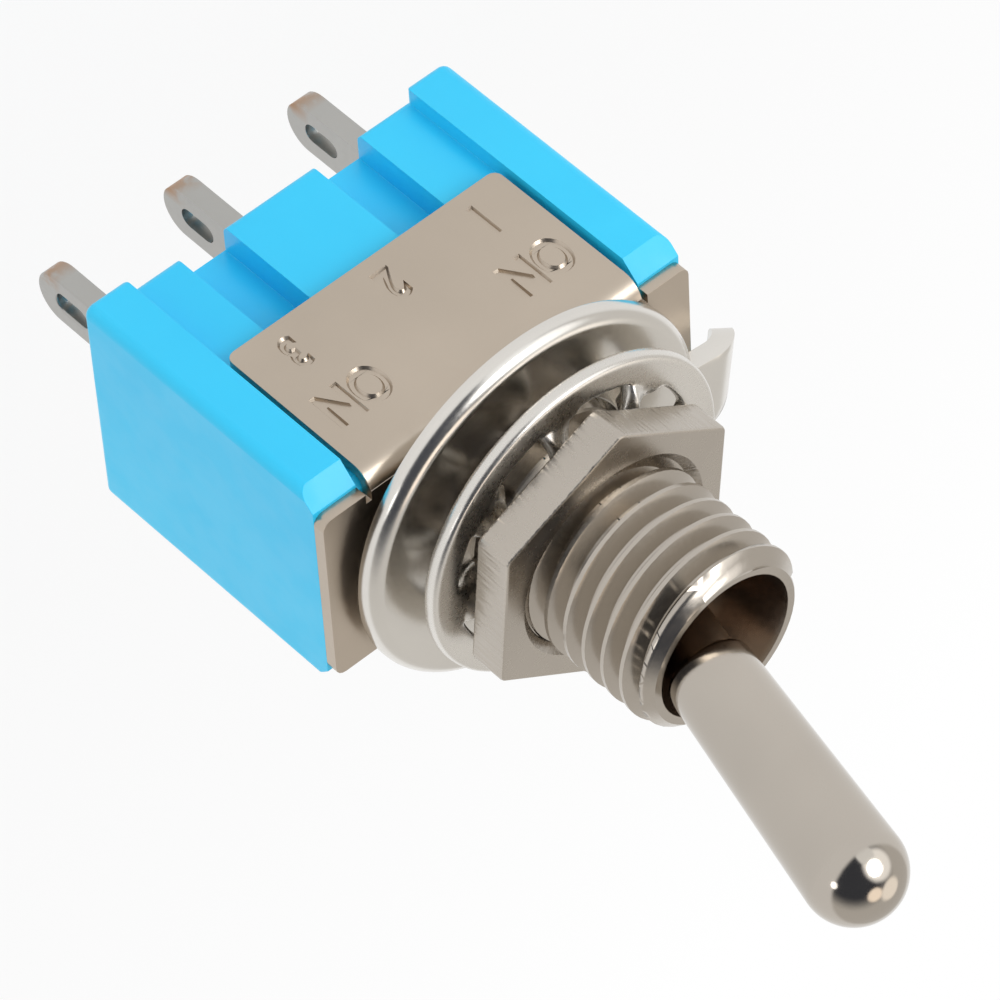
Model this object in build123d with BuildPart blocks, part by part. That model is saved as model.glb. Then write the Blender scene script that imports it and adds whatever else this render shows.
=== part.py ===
from build123d import *

import math
import os

# Miniature panel toggle switch, one pole, two positions, in millimetres.
# The origin is on the bushing axis, on the front face of the support frame.
# +Z runs up the bushing to the lever tip. +X is the way the lever swings.
# +Y looks out of the long side with the lettered tab. The lever rests towards -X.

# Support frame: a folded strip of sheet metal
sheet = 0.4
frame_width = 7.7
tab_side_gap = 0.2
tab_drop = 6.05
ear_width = 6.6
ear_corner = 0.35
bend_outside = 0.7
tab_corner = 0.3
relief_width = 0.2
relief_depth = 0.35

# Housing
housing_length = 13.5
wall_proud = 0.15
housing_depth = 9.7
end_wall = 1.55
tab_seat_gap = 0.05
housing_corner = 0.35
back_round = 0.25
wall_bevel = 0.6
bend_room = 0.3
groove_width = 1.7
groove_shift = 0.15
groove_depth = 1.0
groove_front = 2.5
chamber_room = 0.35
chamber_width = 3.5
chamber_corner = 0.4

# Bushing
bushing_length = 8.6
thread_radius = 3.0
thread_chamfer = 0.4
lip_width = 0.25
waist_radius = 1.7
shoulder_radius = 3.7
shoulder_height = 0.38
spigot_radius = 2.65
rim_lip = 0.15
rim_height = 0.3
keyway_width = 1.2
keyway_depth = 0.4
keyway_angle = -8.0

# Lever, its pin, and the spring-loaded plunger in its tail
lever_tilt = 13.5
pivot_height = 5.0
lever_reach = 13.34
tip_radius = 1.5
base_radius = 1.3
neck_radius = 1.05
base_rise = 0.53
ball_radius = 2.0
tail_radius = 0.95
tail_length = 7.0
tail_bore = 0.6
spring_seat = 2.5
pin_radius = 0.4
pin_length = 4.9
pin_chamfer = 0.08
plunger_out = 4.1
plunger_tip = 0.8
plunger_travel = 0.7
spring_length = 2.1
spring_turns = 4
spring_gap = 0.11
wire_radius = 0.07
wire_sides = 6

# Contacts and terminals
terminal_pitch = 4.7
blade_width = 1.8
blade_thickness = 0.7
blade_tip = 14.6
eye_width = 0.7
eye_length = 1.4
eye_setback = 0.8
yoke_width = 3.1
yoke_height = 1.1
saddle_width = 1.5
rocker_tilt = 6.0
rocker_thickness = 0.35
rocker_width = 2.4
rocker_neck = 1.1
trough_half = 2.8
rocker_over = 0.2
contact_inset = 0.55
moving_radius = 0.65
moving_height = 0.45
moving_dome = 0.2
fixed_radius = 0.8
fixed_height = 0.4
fixed_chamfer = 0.1
seal_length = 1.9
seal_width = 3.0
seal_depth = 0.6

# Hardware on the bushing
ring_radius = 6.1
ring_gap = 0.25
ring_thickness = 0.66
ring_round = 0.3
ring_shift = -0.2
key_gap = 0.15
key_depth_gap = 0.08
locator_width = 2.8
locator_overlap = 1.0
locator_start = 0.1
locator_bend = 1.55
locator_bend_angle = 55.0
locator_run = 0.7
locator_round = 1.1
washer_radius = 5.3
washer_band = 1.0
washer_thickness = 0.5
washer_round = 0.12
washer_shift = 0.2
tooth_count = 8
tooth_width = 1.5
tooth_twist = 45.0
tooth_start = 5.0
tooth_gap = 0.1
tooth_room = 0.43
nut_flats = 8.1
nut_thickness = 1.25
nut_turn = 24.0
nut_corner = 0.25
nut_sink = 0.15

# Clearances
running_gap = 0.05
seat_gap = 0.02
touch_gap = 0.05
slot_gap = 0.02
pin_gap = 0.01

# Places worked out from the sizes above
seat_z = -sheet
back_z = seat_z - housing_depth
block_width = frame_width - 2 * (sheet + tab_seat_gap)
housing_width = frame_width + 2 * wall_proud
end_wall_x = (housing_length - end_wall) / 2
tab_width = housing_length - 2 * (end_wall + tab_side_gap)
groove_place = terminal_pitch / 2 + groove_shift
keyway_floor = thread_radius - keyway_depth
mouth_radius = thread_radius - thread_chamfer - lip_width
rim_radius = spigot_radius + rim_lip
recess_radius = rim_radius + running_gap
recess_depth = rim_height + running_gap
rim_z = seat_z - rim_height
ball_bore = ball_radius + running_gap
waist_z = pivot_height + math.sqrt(ball_bore**2 - waist_radius**2)
tilt = math.radians(lever_tilt)
lever_direction = (-math.sin(tilt), 0, math.cos(tilt))
lever_axis = Axis((0, 0, pivot_height), lever_direction)
lever_plane = Plane((0, 0, pivot_height), x_dir=(math.cos(tilt), 0, math.sin(tilt)), z_dir=(0, -1, 0))
base_place = (bushing_length - pivot_height) / math.cos(tilt) + base_rise
plunger_reach = tail_length + plunger_out
plunger_stem = tail_bore - running_gap
spring_radius = tail_bore - spring_gap - wire_radius

# The rocker turns on the rounded top of the centre terminal.
rocker_half = terminal_pitch + rocker_over
rocker_waist = saddle_width - 2 * running_gap
contact_place = terminal_pitch - contact_inset
knife_radius = blade_thickness / 2
belly = knife_radius + seat_gap
rocker_z = pivot_height - plunger_reach - touch_gap - rocker_thickness - belly
rock = math.radians(rocker_tilt)
rocker_plane = Plane((0, 0, rocker_z), x_dir=(math.cos(rock), 0, -math.sin(rock)), z_dir=(0, -1, 0))

# The plunger's ball centre runs on a circle as the lever and the rocker turn together.
ball_run = plunger_reach - plunger_tip
rest_x = ball_run * math.sin(tilt)
rest_z = pivot_height - ball_run * math.cos(tilt) - rocker_z
path_x = rest_x * math.cos(rock) - rest_z * math.sin(rock)
path_rise = rest_x * math.sin(rock) + rest_z * math.cos(rock) - (pivot_height - ball_run - rocker_z)
trough_radius = (path_x**2 + path_rise**2) / (2 * path_rise) + plunger_tip + touch_gap
trough_top = belly + rocker_thickness
flange_top = trough_top + trough_radius - math.sqrt(trough_radius**2 - trough_half**2)
flange_bottom = flange_top - rocker_thickness
pad_face = flange_bottom - moving_height
closed_x = contact_place * math.cos(rock) + pad_face * math.sin(rock)
closed_z = rocker_z - contact_place * math.sin(rock) + pad_face * math.cos(rock)
fixed_top = closed_z - touch_gap
shelf_top = fixed_top - fixed_height
floor_z = shelf_top - blade_thickness
chamber_depth = seat_z - floor_z
chamber_length = 2 * (terminal_pitch + blade_thickness / 2 + chamber_room)

ring_bore = thread_radius + ring_gap
tooth_bore = thread_radius + washer_shift + tooth_gap
locator_root = ring_radius + locator_start
ring_z = shoulder_height
ring_top = ring_z + ring_thickness
tooth_rise = (tooth_width * math.sin(math.radians(tooth_twist))
              + washer_thickness * math.cos(math.radians(tooth_twist))) / 2
washer_z = ring_top + tooth_room + tooth_rise
nut_z = washer_z + tooth_rise + seat_gap

parts = []


def finish(part, name):
    """Label a finished piece and keep it for writing."""
    part.label = name
    parts.append(part)


# Housing: an open moulded box with end walls proud of three blocks
with BuildPart() as housing:
    with BuildSketch(Plane.XY.offset(back_z)) as housing_plan:
        Rectangle(housing_length, block_width)
        with Locations((end_wall_x, 0), (-end_wall_x, 0)):
            Rectangle(end_wall, housing_width)
        by_x = housing_plan.vertices().group_by(Axis.X)
        fillet(by_x[0] + by_x[-1], radius=housing_corner)
    extrude(amount=housing_depth)
    fillet(housing.faces().sort_by(Axis.Z)[0].outer_wire().edges(), radius=back_round)
    # Bevels at the front of the end walls, and room for the frame's bends
    for side in (1, -1):
        for half_width, bevel, x_from, x_to in (
            (housing_width / 2, wall_bevel, housing_length / 2 - end_wall, housing_length / 2),
            (block_width / 2, bend_room, 0, housing_length / 2 - end_wall),
        ):
            for end in (1, -1):
                with BuildSketch(Plane.YZ.offset(end * x_from)):
                    with BuildLine():
                        Polyline(
                            (side * (half_width - bevel), seat_z),
                            (side * half_width, seat_z - bevel),
                            (side * half_width, seat_z),
                            close=True,
                        )
                    make_face()
                extrude(amount=end * (x_to - x_from), mode=Mode.SUBTRACT)
    # Grooves between the blocks, open at the back
    with BuildSketch(Plane.XY.offset(back_z)):
        with GridLocations(2 * groove_place, block_width - groove_depth, 2, 2):
            Rectangle(groove_width, groove_depth)
    extrude(amount=housing_depth + seat_z - groove_front, mode=Mode.SUBTRACT)
    # Contact chamber and the recess for the bushing's rim
    with BuildSketch(Plane.XY.offset(seat_z)):
        RectangleRounded(chamber_length, chamber_width, chamber_corner)
    extrude(amount=-chamber_depth, mode=Mode.SUBTRACT)
    with BuildSketch(Plane.XY.offset(seat_z)):
        Circle(recess_radius)
    extrude(amount=-recess_depth, mode=Mode.SUBTRACT)
    # Slots for the terminals and pockets for their seals
    with BuildSketch(Plane.XY.offset(back_z)):
        with GridLocations(terminal_pitch, 0, 3, 1):
            Rectangle(blade_thickness + 2 * slot_gap, blade_width + 2 * slot_gap)
    extrude(amount=floor_z - back_z, mode=Mode.SUBTRACT)
    with BuildSketch(Plane.XY.offset(back_z)):
        with GridLocations(terminal_pitch, 0, 3, 1):
            Rectangle(seal_length, seal_width)
    extrude(amount=seal_depth, mode=Mode.SUBTRACT)
finish(housing.part, "housing")

# Support frame: plate with two ears, and a tab folded down over each long side
with BuildPart() as support_frame:
    with BuildSketch(Plane.YZ) as fold:
        with Locations((0, -tab_drop / 2)):
            Rectangle(frame_width, tab_drop)
        fillet(fold.vertices().group_by(Axis.Y)[-1], radius=bend_outside)
        with BuildSketch(mode=Mode.PRIVATE) as inside:
            with Locations((0, -tab_drop / 2 - sheet)):
                Rectangle(frame_width - 2 * sheet, tab_drop)
            fillet(inside.vertices().group_by(Axis.Y)[-1], radius=bend_outside - sheet)
        add(inside.sketch, mode=Mode.SUBTRACT)
    extrude(amount=tab_width / 2, both=True)
    fillet(support_frame.edges().filter_by(Axis.Y).group_by(Axis.Z)[0], radius=tab_corner)
    with BuildSketch(Plane.XY) as ears:
        RectangleRounded(housing_length, ear_width, ear_corner)
        with GridLocations(tab_width + relief_width, ear_width - relief_depth, 2, 2):
            Rectangle(relief_width, relief_depth, mode=Mode.SUBTRACT)
    extrude(amount=-sheet)
    with BuildSketch(Plane.XY):
        Circle(spigot_radius)
    extrude(amount=-sheet, mode=Mode.SUBTRACT)
finish(support_frame.part, "support_frame")

# Bushing: turned, with a shoulder on the frame and a rim staked behind it
with BuildPart() as bushing:
    with BuildSketch(Plane.XZ):
        with BuildLine():
            Polyline(
                (0, rim_z), (rim_radius, rim_z), (rim_radius, seat_z), (spigot_radius, seat_z),
                (spigot_radius, 0), (shoulder_radius, 0), (shoulder_radius, shoulder_height),
                (thread_radius, shoulder_height), (thread_radius, bushing_length - thread_chamfer),
                (thread_radius - thread_chamfer, bushing_length), (0, bushing_length),
                close=True,
            )
        make_face()
    revolve(axis=Axis.Z)
    # Bore: cone at the mouth, waist, round seat for the ball, and a plain bore below
    with BuildSketch(Plane.XZ):
        with BuildLine():
            Line((0, bushing_length), (mouth_radius, bushing_length))
            Line((mouth_radius, bushing_length), (waist_radius, waist_z))
            CenterArc((0, pivot_height), ball_bore, 0, math.degrees(math.acos(waist_radius / ball_bore)))
            Line((ball_bore, pivot_height), (ball_bore, rim_z))
            Line((ball_bore, rim_z), (0, rim_z))
            Line((0, rim_z), (0, bushing_length))
        make_face()
    revolve(axis=Axis.Z, mode=Mode.SUBTRACT)
    # Flare below the ball, where the lever's tail swings
    swing = math.tan(tilt)
    tail_half = tail_radius / math.cos(tilt) + running_gap
    flare_top = pivot_height - (ball_bore - tail_half) / swing
    flare_half = (pivot_height - rim_z) * swing + tail_half
    with BuildSketch(Plane.XZ):
        with BuildLine():
            Polyline(
                (-ball_bore, flare_top), (ball_bore, flare_top), (flare_half, rim_z), (-flare_half, rim_z),
                close=True,
            )
        make_face()
    extrude(amount=tail_radius + running_gap, both=True, mode=Mode.SUBTRACT)
    # Grooves up from the rim, which hold the ends of the pivot pin
    with BuildSketch(Plane.XZ):
        with Locations((0, (rim_z + pivot_height) / 2)):
            Rectangle(2 * (pin_radius + seat_gap), pivot_height - rim_z)
        with Locations((0, pivot_height)):
            Circle(pin_radius + seat_gap)
    extrude(amount=pin_length / 2 + running_gap, both=True, mode=Mode.SUBTRACT)
    # Keyway along the thread
    with BuildSketch(Plane.XY.rotated((0, 0, keyway_angle)).offset(shoulder_height)):
        with Locations((keyway_floor + thread_radius / 2, 0)):
            Rectangle(thread_radius, keyway_width)
    extrude(amount=bushing_length - shoulder_height, mode=Mode.SUBTRACT)
finish(bushing.part, "bushing")

# Lever: turned shaft, ball and hollow tail
with BuildPart() as lever:
    with BuildSketch(lever_plane):
        with BuildLine():
            dome = CenterArc((0, lever_reach - tip_radius), tip_radius, 0, 90)
            shaft = Line(dome @ 0, (base_radius, base_place))
            shoulder = JernArc(shaft @ 1, (0, -1), base_radius - neck_radius, -90)
            neck_end = math.sqrt(ball_radius**2 - neck_radius**2)
            tail_end = math.sqrt(ball_radius**2 - tail_radius**2)
            Line(shoulder @ 1, (neck_radius, neck_end))
            ThreePointArc((neck_radius, neck_end), (ball_radius, 0), (tail_radius, -tail_end))
            Polyline(
                (tail_radius, -tail_end), (tail_radius, -tail_length), (tail_bore, -tail_length),
                (tail_bore, -spring_seat), (0, -spring_seat), dome @ 1,
            )
        make_face()
    revolve(axis=lever_axis)
    with BuildSketch(Plane.XZ):
        with Locations((0, pivot_height)):
            Circle(pin_radius + pin_gap)
    extrude(amount=ball_radius, both=True, mode=Mode.SUBTRACT)
finish(lever.part, "lever")

# Pivot pin through the ball
with BuildPart() as pivot_pin:
    with BuildSketch(Plane.XZ):
        with Locations((0, pivot_height)):
            Circle(pin_radius)
    extrude(amount=pin_length / 2, both=True)
    chamfer(pivot_pin.edges(), length=pin_chamfer)
finish(pivot_pin.part, "pivot_pin")

# Plunger in the lever's tail, with a ball end that rides in the rocker's trough
stem_top = spring_seat + spring_length
head_top = tail_length + plunger_travel + running_gap
with BuildPart() as plunger:
    with BuildSketch(lever_plane):
        with BuildLine():
            Polyline(
                (0, -ball_run - plunger_tip), (0, -stem_top), (plunger_stem, -stem_top),
                (plunger_stem, -head_top), (plunger_tip, -head_top), (plunger_tip, -ball_run),
            )
            CenterArc((0, -ball_run), plunger_tip, -90, 90)
        make_face()
    revolve(axis=lever_axis)
finish(plunger.part, "plunger")

# Coil spring between the end of the tail's bore and the plunger's stem, its fine wire drawn with six sides
coil_start = Vector(0, 0, pivot_height) - Vector(*lever_direction) * (stem_top - wire_radius - seat_gap)
coil_height = spring_length - 2 * (wire_radius + seat_gap)
with BuildPart() as plunger_spring:
    with BuildLine():
        coil = Helix(coil_height / spring_turns, coil_height, spring_radius, coil_start, lever_direction)
    with BuildSketch(Plane(coil @ 0, z_dir=coil % 0)):
        RegularPolygon(wire_radius, wire_sides)
    sweep(is_frenet=True)
finish(plunger_spring.part, "plunger_spring")

# Rocker contact: a strip pressed into a trough with a flange at each end
with BuildPart() as rocker_contact:
    with BuildSketch(rocker_plane):
        trough_angle = math.degrees(math.asin(trough_half / trough_radius))
        under_radius = trough_radius + rocker_thickness
        under_half = math.sqrt(under_radius**2 - (trough_radius + trough_top - flange_bottom) ** 2)
        with BuildLine():
            CenterArc((0, trough_top + trough_radius), trough_radius, 270 - trough_angle, 2 * trough_angle)
            Polyline(
                (trough_half, flange_top), (rocker_half, flange_top), (rocker_half, flange_bottom),
                (under_half, flange_bottom),
            )
            under_angle = math.degrees(math.asin(under_half / under_radius))
            CenterArc((0, trough_top + trough_radius), under_radius, 270 - under_angle, 2 * under_angle)
            Polyline(
                (-under_half, flange_bottom), (-rocker_half, flange_bottom), (-rocker_half, flange_top),
                (-trough_half, flange_top),
            )
        make_face()
    extrude(amount=rocker_width / 2, both=True)
    # Waist that sits between the ears of the centre terminal
    with BuildSketch(Plane(rocker_plane.origin, x_dir=rocker_plane.x_dir, z_dir=rocker_plane.y_dir)):
        with GridLocations(0, rocker_width, 1, 2):
            Rectangle(rocker_neck, rocker_width - rocker_waist)
    extrude(amount=flange_top, mode=Mode.SUBTRACT)
finish(rocker_contact.part, "rocker_contact")

# Silver contacts: a domed button under each end of the rocker, a flat one on each end terminal
dome_radius = (moving_radius**2 + moving_dome**2) / (2 * moving_dome)
dome_angle = math.degrees(math.asin(moving_radius / dome_radius))
for name, side in (("left", -1), ("right", 1)):
    with BuildPart() as moving_contact:
        with BuildSketch(rocker_plane):
            with BuildLine():
                centre_x = side * contact_place
                edge_x = centre_x + moving_radius
                Polyline(
                    (centre_x, pad_face), (centre_x, flange_bottom), (edge_x, flange_bottom),
                    (edge_x, pad_face + moving_dome),
                )
                CenterArc((centre_x, pad_face + dome_radius), dome_radius, 270, dome_angle)
            make_face()
        revolve(axis=Axis(rocker_plane.from_local_coords((centre_x, 0, 0)), rocker_plane.y_dir))
    finish(moving_contact.part, f"moving_contact_{name}")

    with BuildPart() as fixed_contact:
        with BuildSketch(Plane.XY.offset(shelf_top)):
            with Locations((side * closed_x, 0)):
                Circle(fixed_radius)
        extrude(amount=fixed_height)
        chamfer(fixed_contact.faces().sort_by(Axis.Z)[-1].edges(), length=fixed_chamfer)
    finish(fixed_contact.part, f"fixed_contact_{name}")


def blade_outline(x):
    """Outline of a solder blade, from its rounded tip up to the chamber floor, with a slotted eye."""
    with BuildSketch(Plane.YZ.offset(x)) as outline:
        with Locations((0, (floor_z - blade_tip) / 2)):
            Rectangle(blade_width, blade_tip + floor_z)
        fillet(outline.vertices().group_by(Axis.Y)[0], radius=blade_width / 2 - slot_gap)
        with Locations((0, eye_setback + eye_length / 2 - blade_tip)):
            SlotOverall(eye_length, eye_width, rotation=90, mode=Mode.SUBTRACT)
    return outline.sketch


# End terminals: a blade with a shelf folded in over the chamber floor
for name, side in (("left", -1), ("right", 1)):
    with BuildPart() as end_terminal:
        extrude(blade_outline(side * terminal_pitch), amount=blade_thickness / 2, both=True)
        shelf_out = terminal_pitch + blade_thickness / 2
        shelf_in = closed_x - fixed_radius
        with BuildSketch(Plane.XY.offset(floor_z)):
            with Locations((side * (shelf_out + shelf_in) / 2, 0)):
                Rectangle(shelf_out - shelf_in, blade_width)
        extrude(amount=blade_thickness)
        outer_bend = end_terminal.edges().filter_by(Axis.Y).group_by(Axis.Z)[-1].sort_by(Axis.X)
        fillet(outer_bend[-1] if side > 0 else outer_bend[0], radius=blade_thickness / 2)
    finish(end_terminal.part, f"end_terminal_{name}")

# Centre terminal: a blade with a yoke whose rounded saddle carries the rocker
with BuildPart() as centre_terminal:
    extrude(blade_outline(0), amount=blade_thickness / 2, both=True)
    with BuildSketch(Plane.YZ):
        with Locations((0, (floor_z + rocker_z + yoke_height) / 2)):
            Rectangle(yoke_width, rocker_z + yoke_height - floor_z)
        with Locations((0, rocker_z + yoke_height / 2)):
            Rectangle(saddle_width, yoke_height, mode=Mode.SUBTRACT)
    extrude(amount=blade_thickness / 2, both=True)
    with BuildSketch(Plane.XZ):
        with Locations((0, rocker_z)):
            Circle(knife_radius)
    extrude(amount=saddle_width / 2, both=True)
finish(centre_terminal.part, "centre_terminal")

# Cast seals round the blades, flush with the back of the housing
for name, x in (("left", -terminal_pitch), ("centre", 0), ("right", terminal_pitch)):
    with BuildPart() as terminal_seal:
        with BuildSketch(Plane.XY.offset(back_z)):
            with Locations((x, 0)):
                Rectangle(seal_length, seal_width)
                Rectangle(blade_thickness, blade_width, mode=Mode.SUBTRACT)
        extrude(amount=seal_depth)
    finish(terminal_seal.part, f"terminal_seal_{name}")

# Locating ring: flat ring, key in the keyway, and a tab bent down at its edge
key_turn = math.radians(keyway_angle)
key_width = keyway_width - 2 * key_gap
key_reach = keyway_floor + key_depth_gap
key_end = ring_bore + key_width / 2
radial = (math.cos(key_turn), math.sin(key_turn), 0)
across = (math.sin(key_turn), -math.cos(key_turn), 0)
with BuildPart() as locating_ring:
    with BuildSketch(Plane.XY.offset(ring_z)):
        with Locations((0, ring_shift)):
            Circle(ring_radius)
            Circle(ring_bore, mode=Mode.SUBTRACT)
    extrude(amount=ring_thickness)
    with BuildSketch(Plane.XY.rotated((0, 0, keyway_angle)).offset(ring_z)):
        with Locations(((key_reach + key_end) / 2, 0)):
            Rectangle(key_end - key_reach, key_width)
    extrude(amount=ring_thickness)
    fillet(
        locating_ring.edges().filter_by(GeomType.CIRCLE).group_by(Axis.Z)[-1].sort_by(SortBy.RADIUS)[-1],
        radius=ring_round,
    )
    locator_plane = Plane((0, ring_shift, ring_z + ring_thickness / 2), x_dir=radial, z_dir=across)
    with BuildLine(locator_plane) as locator_path:
        Line((locator_root - locator_overlap, 0), (locator_root, 0))
        JernArc((locator_root, 0), (1, 0), locator_bend, -locator_bend_angle)
        fall = math.radians(locator_bend_angle)
        end = (locator_root + locator_bend * math.sin(fall), -locator_bend * (1 - math.cos(fall)))
        Line(end, (end[0] + locator_run * math.cos(fall), end[1] - locator_run * math.sin(fall)))
    with BuildSketch(Plane(locator_path.line @ 0, x_dir=across, z_dir=radial)):
        Rectangle(locator_width, ring_thickness)
    sweep()
    # Round the tab's end in plan
    tab_from = ring_radius + ring_round
    tab_to = end[0] + locator_run * math.cos(fall)
    with BuildSketch(Plane((0, ring_shift, 0), x_dir=radial, z_dir=(0, 0, 1))):
        with Locations(((tab_from + tab_to) / 2 + ring_thickness, 0)):
            Rectangle(tab_to - tab_from + 2 * ring_thickness, 2 * locator_width)
        with BuildSketch(mode=Mode.PRIVATE) as tongue:
            with Locations(((tab_from + tab_to) / 2, 0)):
                Rectangle(tab_to - tab_from, locator_width)
            fillet(tongue.vertices().group_by(Axis.X)[-1], radius=locator_round)
        add(tongue.sketch, mode=Mode.SUBTRACT)
    extrude(amount=ring_radius, both=True, mode=Mode.SUBTRACT)
finish(locating_ring.part, "locating_ring")

# Lock washer: flat band with twisted teeth inside
with BuildPart() as lock_washer:
    band_bore = washer_radius - washer_band
    with BuildSketch(Plane.XY.offset(washer_z - washer_thickness / 2)):
        with Locations((washer_shift, 0)):
            Circle(washer_radius)
            Circle(band_bore, mode=Mode.SUBTRACT)
    extrude(amount=washer_thickness)
    chamfer(lock_washer.edges().filter_by(GeomType.CIRCLE).sort_by(SortBy.RADIUS)[-2:], length=washer_round)
    twist = math.radians(tooth_twist)
    tooth_planes = []
    for tooth in range(tooth_count):
        turn = math.radians(tooth_start + tooth * 360 / tooth_count)
        out = Vector(math.cos(turn), math.sin(turn), 0)
        along = Vector(-math.sin(turn) * math.cos(twist), math.cos(turn) * math.cos(twist), math.sin(twist))
        root = Vector(washer_shift, 0, washer_z) + out * tooth_bore
        tooth_planes.append(Plane(root, x_dir=along, z_dir=out))
    with BuildSketch(*tooth_planes):
        Rectangle(tooth_width, washer_thickness)
    extrude(amount=washer_radius - washer_band / 2 - tooth_bore)
finish(lock_washer.part, "lock_washer")

# Hex nut
with BuildPart() as hex_nut:
    with BuildSketch(Plane.XY.offset(nut_z)) as hexagon:
        RegularPolygon(nut_flats / 2, 6, major_radius=False, rotation=nut_turn)
        fillet(hexagon.vertices(), radius=nut_corner)
        Circle(thread_radius + running_gap, mode=Mode.SUBTRACT)
    extrude(amount=nut_thickness)
    chamfer(
        hex_nut.edges().filter_by(GeomType.CIRCLE).group_by(Axis.Z)[-1].sort_by(SortBy.RADIUS)[-1],
        length=nut_sink,
    )
finish(hex_nut.part, "hex_nut")

os.makedirs("parts", exist_ok=True)
for part in parts:
    export_step(part, f"parts/{part.label}.step")
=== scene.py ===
import math

import bmesh
import bpy
from mathutils import Matrix, Vector


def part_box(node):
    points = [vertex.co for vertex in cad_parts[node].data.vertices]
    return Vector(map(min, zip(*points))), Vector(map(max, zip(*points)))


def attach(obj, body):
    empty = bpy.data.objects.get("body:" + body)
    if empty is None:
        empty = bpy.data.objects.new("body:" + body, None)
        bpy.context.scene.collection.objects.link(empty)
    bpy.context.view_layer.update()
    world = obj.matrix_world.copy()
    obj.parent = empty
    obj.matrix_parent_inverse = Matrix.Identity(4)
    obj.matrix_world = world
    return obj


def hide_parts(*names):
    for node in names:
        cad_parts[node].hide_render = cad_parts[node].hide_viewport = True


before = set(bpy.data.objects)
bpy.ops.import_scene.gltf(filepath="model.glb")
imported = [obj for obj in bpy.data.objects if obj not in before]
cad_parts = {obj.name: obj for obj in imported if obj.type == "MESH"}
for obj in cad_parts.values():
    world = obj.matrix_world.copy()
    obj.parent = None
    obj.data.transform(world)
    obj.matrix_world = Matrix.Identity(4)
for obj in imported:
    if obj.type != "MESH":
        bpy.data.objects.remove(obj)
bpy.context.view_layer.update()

bl_info = {
    "name": "Panel toggle switch",
    "version": (1, 0, 0),
    "blender": (4, 5, 0),
    "location": "3D View > Sidebar > Switch",
    "description": "Models and finishes a miniature panel toggle switch",
    "category": "Object",
}

MM = 0.001
# How near a point is to a place to count as on it, how far a cutter reaches past what it cuts, and how near
# two points of a cut or bevelled mesh are when they are merged
NEAR, CLEAR, DOUBLES = 0.01 * MM, 1 * MM, 0.0002 * MM


def length(name, size, words):
    """A length property, its default given in millimetres."""
    return bpy.props.FloatProperty(
        name=name, description=words, default=size * MM, soft_min=0, precision=6, subtype="DISTANCE",
        unit="LENGTH",
    )


def angle(name, degrees, words):
    """An angle property, its default given in degrees."""
    return bpy.props.FloatProperty(
        name=name, description=words, default=math.radians(degrees), subtype="ANGLE", unit="ROTATION"
    )


def colour(name, red, green, blue, words):
    """A colour property, given as it looks on a screen."""
    linear = [((c + 0.055) / 1.055) ** 2.4 if c > 0.04045 else c / 12.92 for c in (red, green, blue)]
    return bpy.props.FloatVectorProperty(
        name=name, description=words, default=linear, min=0, max=1, size=3, subtype="COLOR"
    )


def direction(name, toward, words):
    """A direction in the scene."""
    return bpy.props.FloatVectorProperty(
        name=name, description=words, default=toward, precision=6, subtype="DIRECTION"
    )


def amount(name, value, words):
    """A plain number property."""
    return bpy.props.FloatProperty(name=name, description=words, default=value, soft_min=0)


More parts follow.
